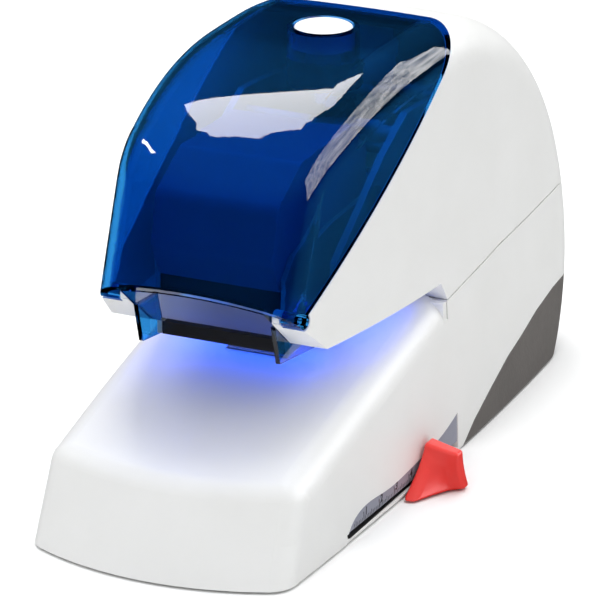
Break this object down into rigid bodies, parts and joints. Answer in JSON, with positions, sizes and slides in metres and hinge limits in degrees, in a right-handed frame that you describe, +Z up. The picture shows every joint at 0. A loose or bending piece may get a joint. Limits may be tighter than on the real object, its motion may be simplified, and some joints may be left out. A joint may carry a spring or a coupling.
{
  "type": "electric stapler",
  "caption": "Mains desk stapler: wedge base with a paper throat, motor-driven stapling arm under a clear hinged cover, depth slider.",
  "frame": {"origin": "on the table, midway between the side walls and near the middle of the length", "axes": "+Z up, the nose and throat face -Y, the depth slider is on +X"},
  "size_m": [0.0981, 0.2303, 0.126],
  "materials": {
    "white_abs": "fine-textured moulded ABS",
    "grey_abs": "coarse-textured moulded ABS",
    "clear_blue": "polished transparent polycarbonate",
    "white_button": "satin moulded ABS",
    "red_plastic": "semi-gloss moulded ABS",
    "scale_label": "printed plate",
    "black_plastic": "moulded nylon",
    "cassette_plastic": "moulded ABS",
    "plated_steel": "zinc-plated pressed steel",
    "tool_steel": "ground hardened steel",
    "gear_nylon": "moulded acetal",
    "motor_can": "drawn steel can",
    "brass": "turned",
    "staple_wire": "galvanised wire",
    "board": "solder-masked laminate",
    "rubber": "moulded rubber"
  },
  "bodies": {
    "housing": {"base_housing": "white_abs", "chassis": "grey_abs", "upper_housing": "white_abs", "finger_guard": "clear_blue", "hinge_pins": "plated_steel", "anvil": "tool_steel", "scale_plate": "scale_label", "frame_plate_right": "plated_steel", "frame_plate_left": "plated_steel", "frame_screws": "plated_steel", "frame_spacers": "plated_steel", "crank_bushes": "brass", "reduction_pin": "tool_steel", "motor": "motor_can", "arm_axle": "tool_steel", "circuit_board": "board", "board_parts": "black_plastic", "mains_inlet": "black_plastic", "inlet_pins": "brass", "switch_frame": "black_plastic", "rubber_feet": "rubber", "housing_screws": "plated_steel", "paper_sensor": "black_plastic", "cover_catch": "plated_steel"},
    "cover": {"cover": "clear_blue", "button_guide": "black_plastic", "button_spring": "plated_steel"},
    "button": {"release_button": "white_button"},
    "depth_stop": {"depth_knob": "red_plastic", "depth_stop_bar": "black_plastic"},
    "crank": {"crank_gear": "gear_nylon", "crank_shaft": "tool_steel"},
    "reduction": {"reduction_gear": "gear_nylon"},
    "motor_shaft": {"motor_pinion": "brass"},
    "stapling_arm": {"arm_plates": "plated_steel", "arm_hub": "plated_steel", "arm_stays": "plated_steel", "staple_cassette": "cassette_plastic", "staple_roll": "staple_wire", "cassette_nose": "black_plastic", "former_plate": "tool_steel"},
    "driver": {"driver_blade": "tool_steel"},
    "rocker": {"power_rocker": "black_plastic"}
  },
  "joints": [
    {"name": "cover_hinge", "type": "hinge", "parent": "housing", "child": "cover", "pos_m": [0, -0.0754, 0.06785], "axis": [1, 0, 0], "range_deg": [0, 75]},
    {"name": "button_press", "type": "slide", "parent": "cover", "child": "button", "axis": [0, 0, -1], "range_m": [0, 0.003], "stiffness_N_per_m": 400, "springref_m": -0.002, "deforming": ["button_spring"]},
    {"name": "depth_slide", "type": "slide", "parent": "housing", "child": "depth_stop", "axis": [0, 1, 0], "range_m": [-0.021, 0.0045]},
    {"name": "crank_turn", "type": "hinge", "parent": "housing", "child": "crank", "pos_m": [0, 0.022, 0.074], "axis": [1, 0, 0], "range_deg": [0, 180]},
    {"name": "reduction_spin", "type": "hinge", "parent": "housing", "child": "reduction", "pos_m": [0, 0.03621, 0.04477], "axis": [1, 0, 0], "range_deg": [-600, 0]},
    {"name": "motor_spin", "type": "hinge", "parent": "housing", "child": "motor_shaft", "pos_m": [0, 0.06, 0.032], "axis": [1, 0, 0], "range_deg": [0, 2100]},
    {"name": "arm_tilt", "type": "hinge", "parent": "housing", "child": "stapling_arm", "pos_m": [0, 0.062, 0.076], "axis": [1, 0, 0], "range_deg": [0, 5.6]},
    {"name": "driver_slide", "type": "slide", "parent": "stapling_arm", "child": "driver", "axis": [0, 0, -1], "range_m": [0, 0.006]},
    {"name": "rocker_tilt", "type": "hinge", "parent": "housing", "child": "rocker", "pos_m": [0.015, 0.0996, 0.0124], "axis": [1, 0, 0], "range_deg": [0, 18]}
  ],
  "couplings": [
    {"joint": "reduction_spin", "follows": "crank_turn", "ratio": -3.3333},
    {"joint": "motor_spin", "follows": "crank_turn", "ratio": 11.667},
    {"joint": "arm_tilt", "follows": "crank_turn", "ratio": 0.031111},
    {"joint": "driver_slide", "follows": "crank_turn", "m_per_rad": 0.0019099}
  ]
}
